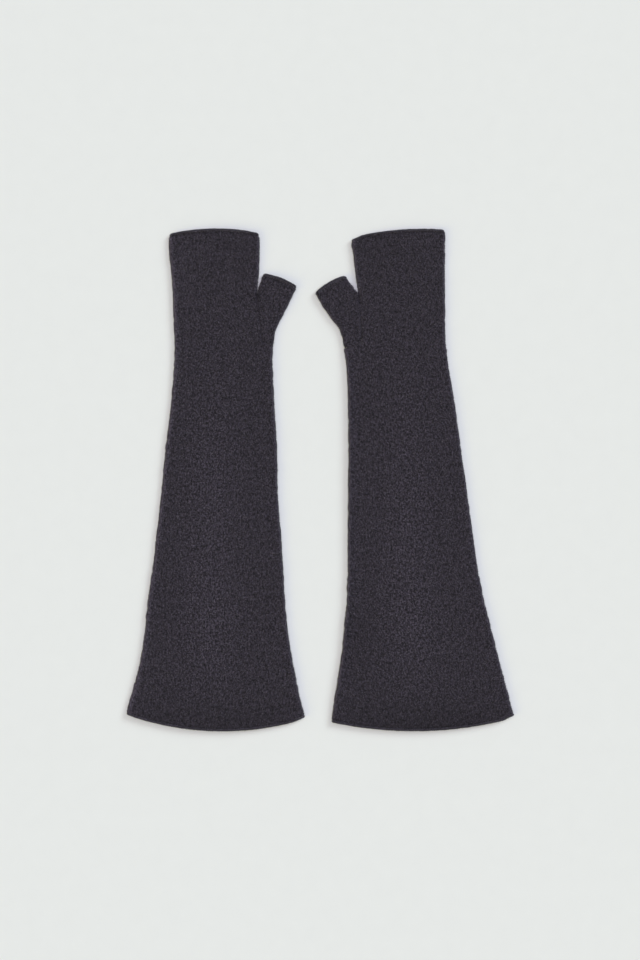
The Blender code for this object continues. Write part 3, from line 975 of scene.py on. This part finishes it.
class Finish:
    """A node material in the making.  Each call that adds a node returns its output."""

    def __init__(self, name):
        self.material = bpy.data.materials.new(name)
        self.material.use_nodes = True
        self.tree = self.material.node_tree
        self.shader = self.tree.nodes["Principled BSDF"]

    def feed(self, socket, value):
        if isinstance(value, bpy.types.NodeSocket):
            self.tree.links.new(value, socket)
        else:
            socket.default_value = value

    def node(self, kind, values=(), **settings):
        made = self.tree.nodes.new("ShaderNode" + kind)
        for name, setting in settings.items():
            setattr(made, name, setting)
        for socket, value in values:
            self.feed(made.inputs[socket], value)
        return made.outputs

    def math(self, operation, *values):
        return self.node("Math", enumerate(values), operation=operation)[0]

    def attribute(self, name):
        read = self.node("Attribute", attribute_name=name)["Vector"]
        return tuple(self.node("SeparateXYZ", [("Vector", read)]))

    def object_place(self):
        return self.node("TexCoord")["Object"]

    def place(self, *parts):
        return self.node("CombineXYZ", enumerate(parts))[0]

    def noise(self, place, scale, detail=0.0, roughness=0.5):
        values = [("Vector", place), ("Scale", scale), ("Detail", detail), ("Roughness", roughness)]
        return self.node("TexNoise", values, noise_dimensions="2D")[0]

    def between(self, value, low, high, to_low=0.0, to_high=1.0):
        names = ("Value", "From Min", "From Max", "To Min", "To Max")
        return self.node("MapRange", zip(names, (value, low, high, to_low, to_high)))[0]

    def surface(self, colour, factor, roughness):
        """Sets the colour, times a factor that varies over the surface, and the roughness."""
        tinted = self.node("VectorMath", [(0, colour), ("Scale", factor)], operation="SCALE")
        self.feed(self.shader.inputs["Base Color"], tinted[0])
        self.feed(self.shader.inputs["Roughness"], roughness)

    def bump(self, height, distance, strength):
        values = [("Height", height), ("Distance", distance), ("Strength", strength)]
        self.feed(self.shader.inputs["Normal"], self.node("Bump", values)[0])

    def constants(self, specular, sheen=0.0, sheen_roughness=0.5, sheen_tint=(1.0, 1.0, 1.0, 1.0)):
        """Values that are the same all over the surface, set on the shader itself."""
        names = ("Specular IOR Level", "Sheen Weight", "Sheen Roughness", "Sheen Tint")
        for name, value in zip(names, (specular, sheen, sheen_roughness, sheen_tint)):
            self.shader.inputs[name].default_value = value


# The knit's colours, as linear RGB, and how its texture is made up.
KNIT_COLOUR = (0.0281, 0.0238, 0.0329)
RIM_COLOUR = (0.0470, 0.0416, 0.0536)
FIBRE_COLOUR = (0.100, 0.092, 0.108)
SHEEN_TINT = (0.80, 0.76, 0.88, 1.0)
FLOOR_COLOUR = (0.80, 0.82, 0.805)
WALE = 1.75  # mm across one column of stitches
KNIT_COURSE = 1.30  # mm up one row of stitches


def knit_material(name, colour, pit_depth_and_shade):
    """Felted stocking stitch: softened V stitches under matted fibres, with lighter and darker flecks.

    The last argument is how deep the holes between stitches are, and how dark their painted shade is.
    """
    finish = Finish(name)
    math = finish.math
    times, minus = partial(math, "MULTIPLY"), partial(math, "SUBTRACT")
    times_plus = partial(math, "MULTIPLY_ADD")
    u, v, layer = finish.attribute("knit")
    # The lightness holds painted light and shade on top of the nap.
    lightness, contrast, _ = finish.attribute("nap")
    # Each piece has its own part of the noise.
    x = times_plus(layer, 271.3, u)
    y = times_plus(layer, 133.7, v)
    place, turned = finish.place(x, y, 0.0), finish.place(y, x, 0.0)
    warped_u = times_plus(finish.noise(place, 0.33, 1.0), 1.5, u)
    warped_v = times_plus(finish.noise(turned, 0.38, 1.0), 1.8, v)

    # Two slanting legs make a V in each wale, and the Vs stack course by course.
    wale = math("DIVIDE", warped_u, WALE)
    leg = times(math("PINGPONG", wale, 0.5), 2.0)
    across_leg = minus(1.0, math("ABSOLUTE", times_plus(leg, 2.0, -1.0)))
    rising = times_plus(leg, 0.55, math("DIVIDE", warped_v, KNIT_COURSE))
    course = times(math("PINGPONG", rising, 0.5), 2.0)
    stitch = times(math("POWER", across_leg, 0.7), times_plus(course, 0.65, 0.35))
    clear = finish.between(finish.noise(place, 0.12, 1.0), 0.35, 0.65, 0.35, 1.0)

    # Matted fibres run a little more up the arm than across it.
    stretched = finish.place(x, times(y, 0.66), 0.0)
    fibres = finish.noise(stretched, 0.64, 3.0, 0.55)
    fleck = finish.between(finish.noise(turned, 0.74, 1.0, 0.5), 0.60, 0.80)
    pit = finish.between(finish.noise(place, 0.60, 1.0, 0.5), 0.38, 0.24)
    tufts = finish.noise(stretched, 0.29, 1.0)
    cloud = finish.noise(place, 0.10, 1.0, 0.5)

    relief = times(minus(stitch, 0.38), times(clear, 0.50))
    relief = times_plus(fibres, 1.0, relief)
    relief = times_plus(fleck, 0.45, relief)
    relief = times_plus(pit, -pit_depth_and_shade, relief)

    # The colour follows the relief, so the gaps between stitches and the holes are painted darker: painted
    # shade, on top of the heather's own flecks and tufts.
    shade = times(minus(relief, 0.52), 2.95)
    shade = times(shade, contrast)
    shade = times_plus(minus(tufts, 0.5), 1.15, shade)
    shade = math("ADD", times_plus(minus(cloud, 0.5), 0.25, 1.0), shade)
    shade = times(math("MAXIMUM", shade, 0.30), lightness)
    warm = finish.between(finish.noise(place, 0.45, 1.0), 0.25, 0.75, 0.955, 1.045)
    cool = finish.between(finish.noise(turned, 0.45, 1.0), 0.25, 0.75, 0.955, 1.045)
    tints = enumerate((colour, finish.place(warm, 1.0, cool)))
    tint = finish.node("VectorMath", tints, operation="MULTIPLY")
    finish.surface(tint[0], shade, finish.between(fibres, 0.3, 0.7, 0.98, 0.86))
    finish.constants(0.18, 0.22, 0.45, SHEEN_TINT)
    finish.bump(relief, 0.00045, 0.9)
    return finish.material


def fibre_material():
    """Loose fibres, each a shade of its own."""
    finish = Finish("loose_fibre")
    math = finish.math
    shade, _, _ = finish.attribute("knit")
    lightness, _, _ = finish.attribute("nap")
    along = finish.noise(finish.object_place(), 900.0, 1.0)
    factor = math("MULTIPLY_ADD", math("POWER", shade, 2.0), 1.4, 0.35)
    factor = math("MULTIPLY", math("MULTIPLY", factor, lightness), math("ADD", along, 0.5))
    finish.surface(FIBRE_COLOUR, factor, finish.between(along, 0.3, 0.7, 0.75, 0.95))
    finish.constants(0.25, 0.2, 0.4)
    return finish.material


def floor_material():
    """Smooth pale card, hardly mottled."""
    finish = Finish("pale_floor")
    mottle = finish.between(finish.noise(finish.object_place(), 60.0, 3.0), 0.3, 0.7, 0.995, 1.005)
    finish.surface(FLOOR_COLOUR, mottle, 1.0)
    finish.constants(0.0)
    return finish.material


FLOOR_SIZE = 40.0  # metres
FLOOR_DROP = 0.00005  # metres that it lies below the cloth


def make_floor():
    bpy.ops.mesh.primitive_plane_add(size=FLOOR_SIZE, location=(0, 0, -FLOOR_DROP))
    floor = bpy.context.object
    floor.name = "floor"
    floor.data.materials.append(floor_material())


# A soft sun: elevation and direction are where it comes from, in degrees, the direction round from +X
# towards +Y, the fingers' end, and size is how wide it looks, in degrees too.
Lamp = namedtuple("Lamp", "name elevation direction size colour strength")

LAMPS = (
    Lamp("overhead", 86, 90, 44, (0.962, 0.848, 1.070), 1.369),
    Lamp("key", 29.5, 36, 26, (0.93, 1.03, 1.04), 1.371),
    Lamp("fill", 27, 205, 30, (1.45, 1.30, 0.25), 0.46),
)
SKY_COLOUR = (0.94, 1.08, 0.98)
SKY_STRENGTH = 0.293


def make_lights():
    for lamp in LAMPS:
        light = bpy.data.lights.new(lamp.name, "SUN")
        light.energy = lamp.strength
        light.color = lamp.colour
        light.angle = radians(lamp.size)
        turned = (radians(90 - lamp.elevation), 0, radians(90 + lamp.direction))
        linked(lamp.name, light).rotation_euler = turned
    world = bpy.data.worlds.new("studio")
    world.use_nodes = True
    background = world.node_tree.nodes["Background"]
    background.inputs["Color"].default_value = (*SKY_COLOUR, 1)
    background.inputs["Strength"].default_value = SKY_STRENGTH
    bpy.context.scene.world = world
    bpy.context.scene.view_settings.view_transform = "Standard"


CAMERA_HEIGHT = 2.6  # metres
VIEW_HEIGHT = 0.9168  # metres of the floor from the bottom of the picture to the top
SENSOR = 36.0  # the longer side of the sensor, in mm


def make_camera():
    lens = bpy.data.cameras.new("camera")
    lens.sensor_width = SENSOR
    lens.lens = SENSOR * CAMERA_HEIGHT / VIEW_HEIGHT
    camera = linked("camera", lens)
    camera.location = (0, 0, CAMERA_HEIGHT)
    bpy.context.scene.camera = camera


def attach(piece, slot, *nodes):
    """Hands a piece to the frame, in place of these CAD nodes."""
    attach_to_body(piece, "root")
    if nodes:
        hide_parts(*nodes)
    return piece


def panel_cut(warmer):
    """Width, length and area of one panel laid out flat, in metres."""
    along = np.linspace(warmer.courses[0].along + RIM_WIDTH, warmer.courses[-1].along - RIM_WIDTH, 300)
    width = course_width(warmer, along) + (pi - 2) * HALF
    bow = column(warmer.courses, "bow", along)
    middle, mean = along + bow, along + bow * 2 / 3
    area = ((width[1:] + width[:-1]) / 2 * np.diff(mean)).sum()
    return width.max() * MM, (middle[-1] - middle[0]) * MM, area * MM**2


def thumb_cut(warmer):
    """Width all round, length and area of a thumb laid out flat, in metres."""
    share = np.linspace(0, tip_share(warmer, RIM_WIDTH), 80)
    hand, hand_y, outer, outer_y, _ = thumb_ends(warmer, share)
    around = 2 * (thumb_width(warmer, share) + (pi - 2) * HALF)
    steps = np.hypot(np.diff(hand + outer), np.diff(hand_y + outer_y)) / 2
    area = ((around[1:] + around[:-1]) / 2 * steps).sum()
    return around.max() * MM, steps.sum() * MM, area * MM**2


def check_table(warmer):
    """Stops the script if the frame's warmer isn't the one in these tables."""
    low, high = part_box(warmer.hand + "_arm_rim")
    outer = max(-low.x, high.x) / MM
    if abs(outer - warmer.courses[0].outer) > 1.5:
        raise ValueError(f"the {warmer.hand} warmer reaches {outer:.1f} mm out")


def make_warmer(warmer, seed, knit, rim, fibre):
    """All the pieces of one warmer; the flat cut of its panel and thumb is worked out but not kept."""
    check_table(warmer)
    hand = warmer.hand

    def fuzzed(part, piece, growth, slot, number):
        """The fuzz on a piece."""
        return attach(make_fuzz(f"{hand}_{part}_fuzz", warmer, piece, growth, seed + number, fibre), slot)

    back = make_panel(hand + "_back_knit", warmer, 1, warmer.back_creases, seed, knit)
    attach(back, "knit", hand + "_back_panel")
    palm = make_panel(hand + "_palm_knit", warmer, -1, warmer.palm_creases, seed + 10, knit)
    attach(palm, "knit", hand + "_palm_panel")
    thumb = make_thumb(hand + "_thumb_knit", warmer, seed + 20, knit)
    attach(thumb, "knit", hand + "_thumb")
    trims = {}
    for number, (end, growth) in enumerate(RIM_FUZZ.items()):
        ring = make_rim(f"{hand}_{end}_rim_knit", warmer, end, seed + 30 + number, rim)
        attach(ring, "rim", f"{hand}_{end}_rim")
        chain = attach(make_chain(f"{hand}_{end}_chain", warmer, end, seed + 40 + number, rim), "rim")
        trims[end] = [ring, chain, fuzzed(end + "_rim", chain, growth, "rim", 70 + number)]
    links = attach(make_links(hand + "_seam_stitches", warmer, seed + 50, knit), "knit")
    on_back = [*trims["finger"], *trims["arm"], links, fuzzed("back", back, BACK_FUZZ, "knit", 60)]
    on_palm = [fuzzed("palm", palm, PALM_FUZZ, "knit", 61)]
    on_thumb = [*trims["thumb"], fuzzed("thumb", thumb, THUMB_FUZZ, "knit", 62)]
    *flat, area = panel_cut(warmer)
    *flat, area = thumb_cut(warmer)


knit = knit_material("felted_knit", KNIT_COLOUR, 0.55)
rim = knit_material("bound_off_rim", RIM_COLOUR, 0.80)
fibre = fibre_material()
make_camera()
make_floor()
make_lights()
for number, warmer in enumerate((LEFT, RIGHT)):
    make_warmer(warmer, 1 + 100 * number, knit, rim, fibre)
